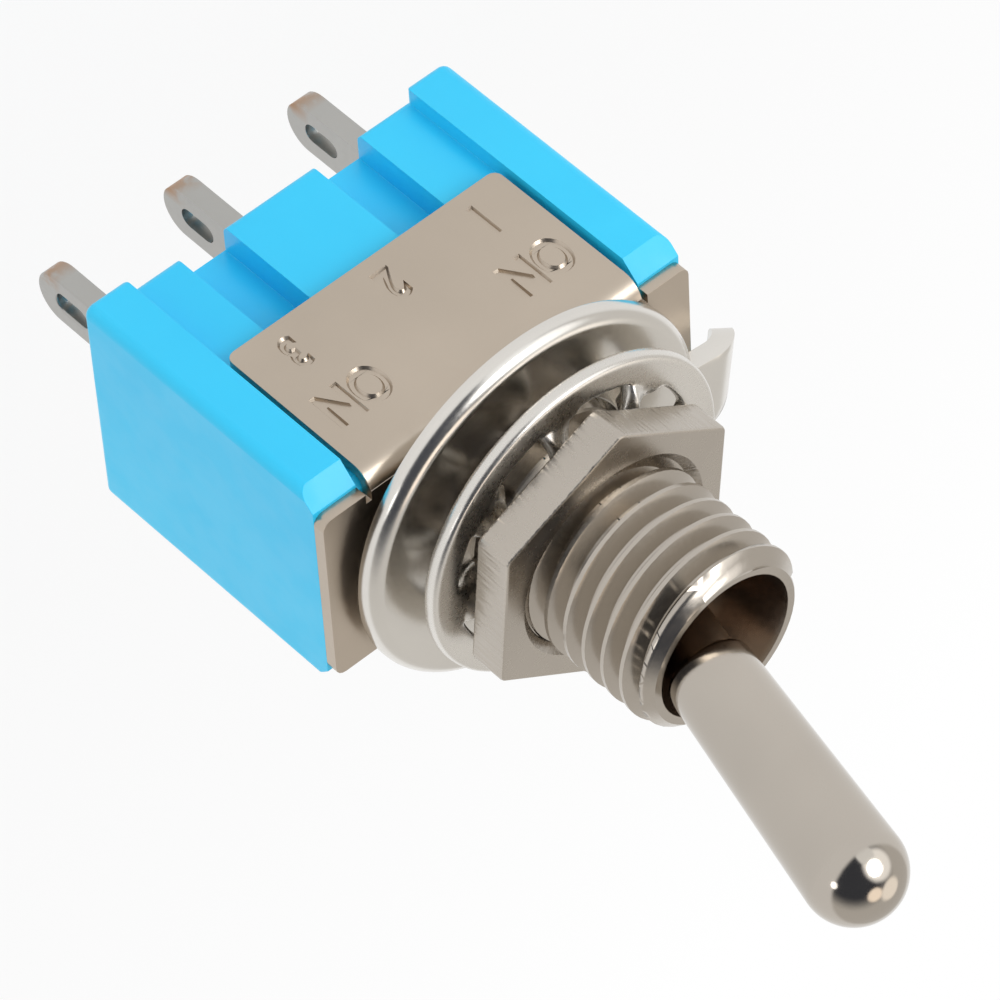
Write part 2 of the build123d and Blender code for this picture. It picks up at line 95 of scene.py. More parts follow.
class SwitchSizes(bpy.types.PropertyGroup):
    """Sizes that the pieces are modelled to."""

    thread_radius: length("Thread radius", 3.0, "Outside radius of the bushing's thread")
    thread_root: length("Thread root", 2.53, "Radius at the bottom of the thread")
    thread_pitch: length("Thread pitch", 0.75, "Distance from one thread to the next")
    thread_phase: length("Thread phase", -0.28, "Shift of the thread along its axis")
    root_flat: length("Root flat", 0.08, "Width of the flat at the bottom of the thread")
    pivot_height: length("Pivot height", 5.0, "Height of the lever's pivot above the frame")
    lever_tilt: angle("Lever tilt", 13.5, "Lean of the lever at rest")
    lever_reach: length("Lever reach", 13.34, "From the pivot to the lever's tip")
    tip_radius: length("Tip radius", 1.5, "Radius of the lever's domed tip")
    base_radius: length("Base radius", 1.3, "Radius of the lever's shaft above its neck")
    base_place: length("Base place", 4.232, "From the pivot to the foot of the shaft")
    neck_radius: length("Neck radius", 1.05, "Radius of the neck under the shaft")
    ball_radius: length("Ball radius", 2.0, "Radius of the lever's ball")
    tail_radius: length("Tail radius", 0.95, "Radius of the lever's tail")
    tail_length: length("Tail length", 7.0, "From the pivot to the end of the tail")
    tail_bore: length("Tail bore", 0.6, "Radius of the bore in the tail")
    spring_seat: length("Spring seat", 2.5, "From the pivot to the end of the bore")
    pin_hole: length("Pin hole", 0.41, "Radius of the hole for the pivot pin")
    nut_flats: length("Nut flats", 8.1, "Width of the nut across its flats")
    nut_turn: angle("Nut turn", 24.0, "Turn of the nut's first corner")
    nut_corner: length("Nut corner", 0.25, "Radius of the nut's upright corners")
    nut_edge: length("Nut edge", 0.09, "Rounding round the nut's faces")
    nut_sink: length("Nut sink", 0.28, "Chamfer at the nut's hole")
    washer_radius: length("Washer radius", 5.3, "Outside radius of the lock washer")
    washer_band: length("Washer band", 1.0, "Width of the washer's flat band")
    washer_thickness: length("Washer thickness", 0.5, "Thickness of the washer's sheet")
    washer_shift: length("Washer shift", 0.2, "Slack of the washer towards +X")
    tooth_bore: length("Tooth bore", 3.25, "Radius at the inner ends of the teeth")
    tooth_twist: angle("Tooth twist", 45.0, "Turn of a tooth out of the band")
    tooth_start: angle("Tooth start", 5.0, "Place of the first tooth round the washer")
    ring_radius: length("Ring radius", 6.1, "Outside radius of the locating ring")
    ring_bore: length("Ring bore", 3.25, "Radius of the ring's hole")
    ring_thickness: length("Ring thickness", 0.66, "Thickness of the ring's sheet")
    ring_round: length("Ring rounding", 0.45, "Rounding of the ring's front rim")
    ring_edge: length("Ring edge", 0.07, "Rounding of the ring's other edges and of its tab")
    ring_shift: length("Ring shift", -0.2, "Slack of the ring along Y")
    ring_turn: angle("Ring turn", -8.0, "Place of the ring's tab and key")
    locator_width: length("Tab width", 2.8, "Width of the ring's bent tab")
    locator_root: length("Tab root", 6.75, "From the ring's centre to the start of the bend")
    locator_bend: length("Tab bend", 1.1, "Radius of the bend, to the middle of the sheet")
    locator_angle: angle("Tab angle", 55.0, "Angle of the bend")
    locator_run: length("Tab run", 0.45, "Straight end of the tab")
    locator_round: length("Tab rounding", 0.7, "Rounding of the tab's upper corner")
    locator_slant: length("Tab slant", 1.8, "How far the tab's lower corner is cut back along the tab")
    locator_cut: length("Tab cut", 1.6, "How far the tab's lower corner is cut back across the tab")
    key_width: length("Key width", 0.9, "Width of the key inside the ring")
    key_reach: length("Key reach", 2.68, "From the ring's centre to the key's end")
    sheet: length("Frame sheet", 0.4, "Thickness of the support frame's sheet")
    frame_width: length("Frame width", 7.7, "Width of the frame over its two tabs")
    tab_width: length("Frame tab width", 10.0, "Width of a frame tab along the switch")
    tab_drop: length("Frame tab drop", 6.05, "From the frame's face to the tab's edge")
    bend_outside: length("Frame bend", 0.7, "Outside radius of the frame's bends")
    ear_width: length("Ear width", 6.6, "Width of the frame's two ears")
    frame_length: length("Frame length", 13.5, "Length of the frame over its ears")
    spigot_radius: length("Frame hole", 2.65, "Radius of the hole for the bushing")
    letter_height: length("Letter height", 1.45, "Height of the words on the tab")
    digit_height: length("Digit height", 1.3, "Height of the digits on the tab")
    letter_depth: length("Letter depth", 0.08, "How deep the letters are pressed")
    letter_slope: length("Letter slope", 0.07, "Width of the sloping sides of the letters")
    letter_narrow: amount("Letter width", 0.74, "How much narrower the letters are than the plain font")
    moulded_round: length("Moulded edge", 0.07, "Rounding of the housing's moulded edges")
    blade_round: length("Blade edge", 0.07, "Rounding of the terminals' edges")


class SwitchFinishes(bpy.types.PropertyGroup):
    """Colours of the switch's finishes."""

    housing_blue: colour("Housing blue", 0.175, 0.815, 0.985, "Moulded plastic of the housing")
    housing_deep: colour("Housing shade", 0.13, 0.765, 0.955, "The plastic's darker swirls")
    frame_metal: colour("Frame metal", 0.755, 0.705, 0.645, "Plated sheet of the support frame")
    bright_metal: colour("Bright metal", 0.74, 0.71, 0.67, "Plating of the bushing, the nut and the lever")
    # Painted shade: a darker brown laid over the bore's inner wall, where shade falls in the recess
    bore_painted_shade: colour("Bore metal", 0.60, 0.53, 0.47, "Dull metal inside the bushing")
    ring_metal: colour("Ring metal", 0.88, 0.865, 0.84, "Plating of the ring and the washer")
    terminal_metal: colour("Terminal metal", 0.71, 0.705, 0.69, "Plating of the terminals")
    # Painted reflection: the brown laid on the blades' tips, on their +Y side only
    terminal_tip_reflection: colour("Terminal copper", 0.66, 0.52, 0.40, "Bare metal at the tips of the terminals")
    spring_metal: colour("Spring metal", 0.62, 0.61, 0.60, "Spring wire and the pivot pin")
    contact_brass: colour("Contact brass", 0.80, 0.66, 0.36, "Strip of the rocker contact")
    contact_silver: colour("Contact silver", 0.88, 0.87, 0.85, "Silver of the contact buttons")
    nylon: colour("Nylon", 0.90, 0.89, 0.84, "Moulded plunger")
    resin: colour("Resin", 0.10, 0.13, 0.17, "Cast seals round the terminals")


class SwitchStage(bpy.types.PropertyGroup):
    """The camera and the studio."""

    camera_place: bpy.props.FloatVectorProperty(
        name="Camera place", description="Where the camera stands", default=(-0.080924, 0.151864, 0.098804),
        precision=6, subtype="TRANSLATION", unit="LENGTH",
    )
    camera_right: direction("Camera right", (0.743682, -0.044525, 0.667049), "To the right of the picture")
    camera_up: direction("Camera up", (0.534809, 0.638325, -0.553643), "Up the picture")
    dim_side: direction("Dim side", (-0.407826, 0.765336, 0.497934), "Where the studio is dim")
    lens: bpy.props.FloatProperty(
        name="Lens", description="Focal length of the camera", default=257.46, unit="CAMERA"
    )
    floor_drop: length("Floor drop", 34.0, "How far the floor is below the frame's face")
    floor_size: length("Floor size", 4000.0, "Width of the floor")
    floor_pale: colour("Floor", 0.93, 0.93, 0.93, "Colour of the floor")
    sky_level: amount("Sky level", 0.84, "Strength of the studio's even light")
    key_power: amount("Key power", 0.5, "Power of the large soft box, in watts")
    room_dark: colour("Dark room", 0.27, 0.28, 0.31, "The studio on its dim side")
    room_pale: colour("Pale room", 0.87, 0.86, 0.845, "The rest of the studio")


# Selecting, and the steps that every piece shares

def clear_selection():
    """Back to object mode with nothing selected."""
    if bpy.context.mode != "OBJECT":
        bpy.ops.object.mode_set(mode="OBJECT")
    bpy.ops.object.select_all(action="DESELECT")


def take(piece):
    """Select one piece alone and make it active."""
    clear_selection()
    piece.select_set(True)
    bpy.context.view_layer.objects.active = piece
    return piece


def edit(piece, kind="VERT", whole=False):
    """Open one piece in edit mode, with the whole of it selected or nothing."""
    take(piece)
    bpy.ops.object.mode_set(mode="EDIT")
    bpy.ops.mesh.select_mode(type=kind)
    bpy.ops.mesh.select_all(action="SELECT" if whole else "DESELECT")


def face_outwards():
    """Point the faces of the open mesh outwards and leave edit mode."""
    bpy.ops.mesh.select_all(action="SELECT")
    bpy.ops.mesh.normals_make_consistent(inside=False)
    clear_selection()


def grow(across=1.0, along=1.0, up=1.0, about=(0, 0, 0)):
    """Scale what is selected in the open mesh about a point."""
    bpy.ops.transform.resize(value=(across, along, up), center_override=about)


def draw_out(*move):
    """Extrude the selected edges by a move."""
    bpy.ops.mesh.extrude_edges_move(TRANSFORM_OT_translate={"value": move})


def pick(kind, wanted, sharp=False):
    """Select the vertices, edges or faces of the open mesh whose place, and normal for a face, are wanted."""
    bpy.ops.mesh.select_mode(type={"verts": "VERT", "edges": "EDGE", "faces": "FACE"}[kind])
    bpy.ops.mesh.select_all(action="DESELECT")
    mesh = bpy.context.edit_object.data
    shape = bmesh.from_edit_mesh(mesh)
    count = 0
    for item in getattr(shape, kind):
        if kind == "verts":
            chosen = wanted(item.co)
        elif kind == "edges":
            chosen = wanted(item.verts[0].co, item.verts[1].co)
            chosen = chosen and (not sharp or item.calc_face_angle(0) > math.radians(50))
        else:
            chosen = wanted(item.calc_center_median(), item.normal)
        if chosen:
            item.select_set(True)
            count += 1
    shape.select_flush_mode()
    bmesh.update_edit_mesh(mesh)
    if not count:
        raise RuntimeError(f"nothing to select on {bpy.context.edit_object.name}")


def settle(piece):
    """Put a piece's place, turn and scale into its mesh."""
    take(piece)
    bpy.ops.object.transform_apply(location=True, rotation=True, scale=True)
    return piece


def modify(piece, kind, **values):
    """Add a modifier to a piece and apply it."""
    take(piece)
    change = piece.modifiers.new(kind.title(), kind)
    for name, value in values.items():
        setattr(change, name, value)
    bpy.ops.object.modifier_apply(modifier=change.name)
    return piece


def combine(piece, tool, operation):
    """Cut, join or keep what a piece shares with a tool, and delete the tool."""
    modify(piece, "BOOLEAN", object=tool, operation=operation, solver="EXACT")
    bpy.data.objects.remove(tool, do_unlink=True)
    if not piece.data.polygons:
        raise RuntimeError(f"{piece.name} has no faces left")
    return piece


def merge(piece, distance=0.0005 * MM):
    """Merge the doubles of a piece and point its faces outwards."""
    edit(piece, whole=True)
    bpy.ops.mesh.remove_doubles(threshold=distance)
    face_outwards()
    return piece


def soften(piece, width, segments, degrees):
    """Round the edges of a piece that are sharper than an angle."""
    return modify(
        piece, "BEVEL", width=width, segments=segments, limit_method="ANGLE",
        angle_limit=math.radians(degrees), use_clamp_overlap=True,
    )


def copy_of(name):
    """A merged copy of a CAD node's mesh, its flat faces in one piece each."""
    piece = bpy.data.objects.new(name + "_copy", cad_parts[name].data.copy())
    bpy.context.scene.collection.objects.link(piece)
    edit(piece, whole=True)
    bpy.ops.mesh.remove_doubles(threshold=0.0005 * MM)
    bpy.ops.mesh.dissolve_limited(angle_limit=math.radians(0.2))
    clear_selection()
    return piece


def block(low, high):
    """A box between two corners."""
    middle = (Vector(low) + Vector(high)) / 2
    clear_selection()
    bpy.ops.mesh.primitive_cube_add(size=1, location=middle, scale=Vector(high) - Vector(low))
    return settle(bpy.context.object)


def rod(radius, low, high, sides=96, top_radius=None):
    """A round rod, or a cone, along Z."""
    clear_selection()
    bpy.ops.mesh.primitive_cone_add(
        vertices=sides, radius1=radius, radius2=radius if top_radius is None else top_radius,
        depth=high - low, location=(0, 0, (low + high) / 2),
    )
    return settle(bpy.context.object)


def settings(context):
    """The sizes and the finishes as they are set in the scene."""
    return context.scene.switch_sizes, context.scene.switch_finishes


def shares(count):
    """Even steps from 0 to 1."""
    return [step / count for step in range(count + 1)]


def hand_over(piece, name, body, nodes, finish, smooth=32):
    """Name a finished piece, shade it, give it its finish and let it ride in its node's place."""
    piece.name = name
    piece.data.name = name
    piece.data.materials.clear()
    piece.data.materials.append(finish)
    take(piece)
    bpy.ops.object.shade_smooth_by_angle(angle=math.radians(smooth))
    modify(piece, "WEIGHTED_NORMAL", keep_sharp=True)
    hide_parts(*nodes)
    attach(piece, body)
    clear_selection()


# Node groups that several finishes use

def new_group(name, inputs, outputs):
    """An empty node group with number or colour sockets."""
    tree = bpy.data.node_groups.new(name, "ShaderNodeTree")
    for side, sockets in (("INPUT", inputs), ("OUTPUT", outputs)):
        for socket, kind, value in sockets:
            made = tree.interface.new_socket(name=socket, in_out=side, socket_type=f"NodeSocket{kind}")
            if side == "INPUT" and value is not None:
                made.default_value = value
    return tree, tree.nodes.new("NodeGroupInput"), tree.nodes.new("NodeGroupOutput")


def node(tree, kind, values=None, **settings):
    """A shader node with its settings and its input values."""
    made = tree.nodes.new(kind)
    for name, value in settings.items():
        setattr(made, name, value)
    for socket, value in (values or {}).items():
        made.inputs[socket].default_value = value
    return made


def wire(tree, *links):
    """Join sockets, each link given as a node, its output, the next node and its input."""
    for source, output, target, socket in links:
        tree.links.new(source.outputs[output], target.inputs[socket])


def speckle_group():
    """Fine grains: a mask and a height."""
    tree, given, result = new_group(
        "Speckle", [("Scale", "Float", 900.0), ("Detail", "Float", 3.0)],
        [("Mask", "Float", None), ("Height", "Float", None)],
    )
    place = node(tree, "ShaderNodeTexCoord")
    noise = node(tree, "ShaderNodeTexNoise", {"Roughness": 0.6})
    cells = node(tree, "ShaderNodeTexVoronoi")
    ramp = node(tree, "ShaderNodeMapRange", {"From Min": 0.4, "From Max": 0.62})
    join = node(tree, "ShaderNodeMath", {1: 0.35}, operation="MULTIPLY_ADD")
    wire(
        tree, (place, "Object", noise, "Vector"), (place, "Object", cells, "Vector"),
        (given, "Scale", noise, "Scale"), (given, "Scale", cells, "Scale"),
        (given, "Detail", noise, "Detail"), (noise, "Fac", ramp, "Value"), (ramp, "Result", result, "Mask"),
        (cells, "Distance", join, 0), (noise, "Fac", join, 2), (join, 0, result, "Height"),
    )
    return tree


def drift_group():
    """Slow change between two colours, as thin plating or moulding swirls give."""
    tree, given, result = new_group(
        "Drift",
        [("First", "Color", (1, 1, 1, 1)), ("Second", "Color", (1, 1, 1, 1)), ("Scale", "Float", 120.0),
         ("Spread", "Float", 0.2)],
        [("Color", "Color", None)],
    )
    place = node(tree, "ShaderNodeTexCoord")
    noise = node(tree, "ShaderNodeTexNoise", {"Detail": 3.0, "Roughness": 0.5, "Distortion": 0.4})
    low = node(tree, "ShaderNodeMath", {0: 0.5}, operation="SUBTRACT")
    high = node(tree, "ShaderNodeMath", {0: 0.5}, operation="ADD")
    ramp = node(tree, "ShaderNodeMapRange")
    mix = node(tree, "ShaderNodeMix", data_type="RGBA")
    wire(
        tree, (place, "Object", noise, "Vector"), (given, "Scale", noise, "Scale"),
        (given, "Spread", low, 1), (given, "Spread", high, 1), (noise, "Fac", ramp, "Value"),
        (low, 0, ramp, "From Min"), (high, 0, ramp, "From Max"), (ramp, "Result", mix, "Factor"),
        (given, "First", mix, "A"), (given, "Second", mix, "B"), (mix, "Result", result, "Color"),
    )
    return tree


def tool_marks_group():
    """Heights of a cutter's or a rolling mill's fine lines: narrow across, long along the stretched axis."""
    tree, given, result = new_group(
        "Tool marks",
        [("Stretch", "Vector", (1.0, 1.0, 0.04)), ("Turn", "Vector", (0.0, 0.0, 0.0)),
         ("Scale", "Float", 5000.0), ("Sides", "Float", 0.0)],
        [("Height", "Float", None)],
    )
    place = node(tree, "ShaderNodeTexCoord")
    turn = node(tree, "ShaderNodeMapping")
    noise = node(tree, "ShaderNodeTexNoise", {"Detail": 1.5, "Roughness": 0.5})
    split = node(tree, "ShaderNodeSeparateXYZ")
    flat = node(tree, "ShaderNodeMath", operation="ABSOLUTE")
    fade = node(tree, "ShaderNodeMath", operation="MULTIPLY")
    keep = node(tree, "ShaderNodeMath", {0: 1.0}, operation="SUBTRACT")
    height = node(tree, "ShaderNodeMath", operation="MULTIPLY")
    wire(
        tree, (place, "Object", turn, "Vector"), (given, "Stretch", turn, "Scale"),
        (given, "Turn", turn, "Rotation"), (turn, "Vector", noise, "Vector"),
        (given, "Scale", noise, "Scale"),
        (place, "Normal", split, 0), (split, "Z", flat, 0), (flat, 0, fade, 0), (given, "Sides", fade, 1),
        (fade, 0, keep, 1), (noise, "Fac", height, 0), (keep, 0, height, 1), (height, 0, result, "Height"),
    )
    return tree


def shared(name, build):
    """A node group, built the first time it is asked for."""
    return bpy.data.node_groups.get(name) or build()


def place_group(tree, name, build, values):
    """Put a shared group in a material with its own values."""
    return node(tree, "ShaderNodeGroup", values, node_tree=shared(name, build))


def rgba(shade, strength=1.0):
    """A colour property as four numbers, made lighter or darker."""
    return tuple(min(1.0, c * strength) for c in shade) + (1.0,)


def new_finish(name, first, second, drift, rough, grain, grain_depth):
    """A material with a drifting colour, uneven roughness and fine grain.

    drift is the colour's scale and spread, rough its least and its most, and grain its scale and detail.
    """
    made = bpy.data.materials.new(name)
    made.use_nodes = True
    tree = made.node_tree
    shader = tree.nodes["Principled BSDF"]
    scale, spread = drift
    tint = place_group(tree, "Drift", drift_group, {
        "First": first, "Second": second, "Scale": scale, "Spread": spread,
    })
    size, detail = grain
    grains = place_group(tree, "Speckle", speckle_group, {"Scale": size, "Detail": detail})
    rough_range = node(tree, "ShaderNodeMapRange", {"To Min": rough[0], "To Max": rough[1]})
    bump = node(tree, "ShaderNodeBump", {"Strength": 1.0, "Distance": grain_depth * MM})
    wire(
        tree, (tint, "Color", shader, "Base Color"), (grains, "Mask", rough_range, "Value"),
        (rough_range, "Result", shader, "Roughness"), (grains, "Height", bump, "Height"),
        (bump, "Normal", shader, "Normal"),
    )
    return made, tree, shader, bump


def metal(name, shade, rough=0.25, grain=6000.0, grain_depth=0.001, marks=None, marks_depth=0.0):
    """A plated metal finish with drifting colour, fine grain and, where marks says how, a cutter's lines."""
    made, tree, shader, bump = new_finish(
        name, rgba(shade), rgba(shade, 0.9), drift=(150.0, 0.22), rough=(rough * 0.94, rough * 1.08),
        grain=(grain, 3.0), grain_depth=grain_depth,
    )
    shader.inputs["Metallic"].default_value = 1.0
    if marks:
        lines = place_group(tree, "Tool marks", tool_marks_group, marks)
        cut = node(tree, "ShaderNodeBump", {"Strength": 1.0, "Distance": marks_depth * MM})
        wire(tree, (lines, "Height", cut, "Height"), (cut, "Normal", bump, "Normal"))
    return made


def moulded(name, shade, second, rough=0.35):
    """A moulded plastic or cast resin with faint swirls and a fine skin."""
    made, _, shader, _ = new_finish(
        name, rgba(shade), rgba(second), drift=(110.0, 0.3), rough=(rough * 0.85, rough * 1.15),
        grain=(700.0, 2.0), grain_depth=0.01,
    )
    shader.inputs["Coat Weight"].default_value = 0.05
    shader.inputs["Coat Roughness"].default_value = 0.25
    return made


def from_axis(tree, outer, inner, most=1.0):
    """A share that grows from nothing to its most between two distances from the Z axis."""
    place = node(tree, "ShaderNodeTexCoord")
    level = node(tree, "ShaderNodeVectorMath", {1: (1, 1, 0)}, operation="MULTIPLY")
    reach = node(tree, "ShaderNodeVectorMath", operation="LENGTH")
    share = node(tree, "ShaderNodeMapRange", {"From Min": outer, "From Max": inner, "To Max": most})
    wire(tree, (place, "Object", level, 0), (level, 0, reach, 0), (reach, "Value", share, "Value"))
    return share


def lay_over(finish, share, output, shade):
    """Lay a second shade over a finish's colour where a node's output says."""
    tree = finish.node_tree
    shader = tree.nodes["Principled BSDF"]
    plating = shader.inputs["Base Color"].links[0].from_socket
    mix = node(tree, "ShaderNodeMix", {"B": rgba(shade)}, data_type="RGBA")
    tree.links.new(plating, mix.inputs["A"])
    wire(tree, (share, output, mix, "Factor"), (mix, "Result", shader, "Base Color"))
    return finish


class SWITCH_OT_bushing(bpy.types.Operator):
    """Cut the thread on the keyed bushing"""

    bl_idname = "switch.bushing"
    bl_label = "Bushing"

    def execute(self, context):
        sizes, finishes = settings(context)
        piece = copy_of("bushing")
        thread_start, turns = 0.45 * MM, 12
        combine(piece, thread_groove(sizes, thread_start, turns), "DIFFERENCE")
        merge(piece, DOUBLES)
        finish = self.bushing_plating(finishes)
        hand_over(piece, "threaded_bushing", "switch_body", ["bushing"], finish, smooth=22)
        return {"FINISHED"}

    def bushing_plating(self, finishes):
        """Bright plating, with painted shade inside the bore: a darker brown there."""
        finish = metal("bushing_plating", finishes.bright_metal, rough=0.24, grain_depth=0.0012)
        mouth, wall = 2.38 * MM, 2.30 * MM
        # Painted shade: the bore's inner wall, inside its mouth, gets the darker brown
        inside = from_axis(finish.node_tree, mouth, wall)
        return lay_over(finish, inside, "Result", finishes.bore_painted_shade)


def thread_groove(sizes, start, turns):
    """A closed helical groove with sloping flanks, to be cut from a rod."""
    spare, flank = 0.06 * MM, math.radians(30)
    root, outside = sizes.thread_root, sizes.thread_radius + spare
    deep = outside - root
    narrow = sizes.root_flat / 2
    wide = narrow + deep * math.tan(flank)
    clear_selection()
    bpy.ops.mesh.primitive_plane_add(size=1, rotation=(math.pi / 2, 0, 0))
    groove = settle(bpy.context.object)
    edit(groove, whole=True)
    grow(deep, 1, 2 * wide)
    pick("verts", lambda place: place.x < 0)
    grow(1, 1, narrow / wide)
    bpy.ops.mesh.select_all(action="SELECT")
    bpy.ops.transform.translate(value=((outside + root) / 2, 0, start + sizes.thread_phase))
    bpy.ops.mesh.delete(type="ONLY_FACE")
    clear_selection()
    modify(
        groove, "SCREW", axis="Z", screw_offset=sizes.thread_pitch, iterations=turns, steps=96,
        render_steps=96, use_merge_vertices=False, use_smooth_shade=False,
    )
    edit(groove, whole=True)
    bpy.ops.mesh.fill_holes(sides=4)
    face_outwards()
    return groove


class SWITCH_OT_nut(bpy.types.Operator):
    """Model the hex nut with its threaded hole"""

    bl_idname = "switch.nut"
    bl_label = "Hex nut"

    def execute(self, context):
        sizes, finishes = settings(context)
        low, high = (corner.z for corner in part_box("hex_nut"))
        half_corner = math.radians(30)
        clear_selection()
        bpy.ops.mesh.primitive_cylinder_add(
            vertices=6, radius=sizes.nut_flats / 2 / math.cos(half_corner), depth=high - low,
            location=(0, 0, (low + high) / 2), rotation=(0, 0, sizes.nut_turn - math.radians(90)),
        )
        piece = settle(context.object)
        edit(piece, "EDGE")
        pick("edges", lambda a, b: abs(a.z - b.z) > 0.5 * (high - low))
        bpy.ops.mesh.bevel(offset=sizes.nut_corner * math.tan(half_corner), segments=5, affect="EDGES")
        clear_selection()
        soften(piece, sizes.nut_edge, 2, 50)
        play, spare, turns = 0.05 * MM, 0.1 * MM, 6
        bore = sizes.thread_radius + play
        hole = rod(bore, low - CLEAR, high + CLEAR)
        combine(hole, thread_groove(sizes, low - CLEAR - spare, turns), "DIFFERENCE")
        combine(piece, hole, "DIFFERENCE")
        sink = rod(bore, high - sizes.nut_sink, high + spare, top_radius=bore + sizes.nut_sink + spare)
        combine(piece, sink, "DIFFERENCE")
        finish = metal(
            "nut_plating", finishes.bright_metal, rough=0.26, grain=3000.0, grain_depth=0.0015,
            marks={"Stretch": (1.0, 1.0, 0.12), "Scale": 7000.0, "Sides": 1.0}, marks_depth=0.034,
        )
        hand_over(piece, "threaded_hex_nut", "hex_nut", ["hex_nut"], finish, smooth=25)
        return {"FINISHED"}


class SWITCH_OT_lever(bpy.types.Operator):
    """Turn the lever from its bore, up its ball and shaft, to its domed tip"""

    bl_idname = "switch.lever"
    bl_label = "Lever"

    def execute(self, context):
        sizes, finishes = settings(context)
        clear_selection()
        bpy.ops.mesh.primitive_circle_add(
            vertices=96, radius=sizes.tail_bore, fill_type="NGON", location=(0, 0, -sizes.spring_seat)
        )
        piece = settle(context.object)
        edit(piece, "FACE", whole=True)
        height, radius = -sizes.spring_seat, sizes.tail_bore
        for place, size in self.outline(sizes):
            bpy.ops.mesh.extrude_region_move(TRANSFORM_OT_translate={"value": (0, 0, place - height)})
            grow(size / radius, size / radius, about=(0, 0, place))
            height, radius = place, size
        bpy.ops.mesh.poke()
        pick("verts", lambda place: place.z > height - 0.1 * NEAR and place.xy.length < radius / 2)
        bpy.ops.transform.translate(value=(0, 0, sizes.lever_reach - height))
        face_outwards()
        half_pin = sizes.ball_radius + 0.5 * MM
        hole = rod(sizes.pin_hole, -half_pin, half_pin, sides=32)
        hole.rotation_euler.x = math.pi / 2
        combine(piece, settle(hole), "DIFFERENCE")
        piece.rotation_euler.y = -sizes.lever_tilt
        piece.location.z = sizes.pivot_height
        settle(piece)
        finish = metal(
            "lever_plating", finishes.bright_metal, rough=0.11, grain=7000.0, grain_depth=0.0006,
            marks={"Stretch": (1.0, 1.0, 0.03), "Turn": (0.0, sizes.lever_tilt, 0.0), "Scale": 3500.0},
            marks_depth=0.0015,
        )
        hand_over(piece, "turned_lever", "lever", ["lever"], finish, smooth=24)
        return {"FINISHED"}

    def outline(self, sizes):
        """Heights above the pivot and radii, from the tail's end over the ball and the shaft to the dome."""
        ball, neck, tail, base, tip = (
            sizes.ball_radius, sizes.neck_radius, sizes.tail_radius, sizes.base_radius, sizes.tip_radius
        )
        quarter = math.radians(90)
        dome = sizes.lever_reach - tip
        first, last = -math.acos(tail / ball), math.acos(neck / ball)
        places = [(-sizes.tail_length, sizes.tail_bore), (-sizes.tail_length, tail)]
        for part in shares(16):
            turn = first + (last - first) * part
            places.append((ball * math.sin(turn), ball * math.cos(turn)))
        step = base - neck
        for part in shares(8):
            turn = quarter * part
            places.append((sizes.base_place - step * math.cos(turn), neck + step * math.sin(turn)))
        for part in shares(6)[1:]:
            places.append((sizes.base_place + (dome - sizes.base_place) * part, base + (tip - base) * part))
        for part in shares(24)[1:-1]:
            places.append((dome + tip * math.sin(quarter * part), tip * math.cos(quarter * part)))
        return places


class SWITCH_OT_washer(bpy.types.Operator):
    """Model one twisted tooth of the lock washer and copy it round the band"""

    bl_idname = "switch.washer"
    bl_label = "Lock washer"

    def execute(self, context):
        sizes, finishes = settings(context)
        low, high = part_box("lock_washer")
        band_bore = sizes.washer_radius - sizes.washer_band
        step = math.radians(360 / 128)
        clear_selection()
        bpy.ops.mesh.primitive_circle_add(vertices=128, radius=band_bore, rotation=(0, 0, step / 2))
        sector = settle(context.object)
        edit(sector, "EDGE", whole=True)
        reached = band_bore
        for part in shares(4)[1:]:
            radius = band_bore + part * sizes.washer_band
            draw_out(0, 0, 0)
            grow(radius / reached, radius / reached)
            reached = radius
        first, last = -7.6 * step, 8.6 * step
        pick("verts", lambda place: not first < math.atan2(place.x, -place.y) < last)
        bpy.ops.mesh.delete(type="VERT")
        self.make_tooth(sizes, band_bore, step)
        clear_selection()
        sector.rotation_euler.z = math.radians(90) + sizes.tooth_start
        settle(sector)
        copies = []
        for part in shares(8)[1:-1]:
            take(sector)
            bpy.ops.object.duplicate(linked=False)
            again = context.object
            again.rotation_euler.z = 2 * math.pi * part
            copies.append(settle(again))
        take(sector)
        for again in copies:
            again.select_set(True)
        bpy.ops.object.join()
        seam = 0.002 * MM
        merge(sector, seam)
        sector.location = (sizes.washer_shift, 0, (low.z + high.z) / 2)
        settle(sector)
        modify(sector, "SOLIDIFY", thickness=sizes.washer_thickness, offset=0, use_even_offset=True)
        merge(sector, DOUBLES)
        modify(sector, "SUBSURF", levels=2, render_levels=2)
        finish = metal("washer_plating", finishes.ring_metal, rough=0.28, grain_depth=0.001)
        hand_over(
            sector, "toothed_lock_washer", "lock_washer", ["lock_washer"], finish, smooth=40
        )
        return {"FINISHED"}

    def make_tooth(self, sizes, band_bore, step):
        """Extrude the tooth inwards from the band's inner edge, turning it as it goes."""
        reach = band_bore - sizes.tooth_bore
        half_tooth = 3.6 * step
        pick("edges", lambda a, b: (
            max(abs(a.xy.length - band_bore), abs(b.xy.length - band_bore)) < NEAR
            and max(abs(math.atan2(a.x, -a.y)), abs(math.atan2(b.x, -b.y))) < half_tooth
        ))
        place = -band_bore
        shares_and_twists = (
            (0.1, 0.12), (0.12, 0.24), (0.14, 0.26), (0.16, 0.2), (0.18, 0.12), (0.2, 0.06), (0.1, 0.0),
        )
        for part, twist in shares_and_twists:
            draw_out(0, reach * part, 0)
            place += reach * part
            bpy.ops.transform.rotate(
                value=sizes.tooth_twist * twist, orient_axis="Y", center_override=(0, place, 0)
            )


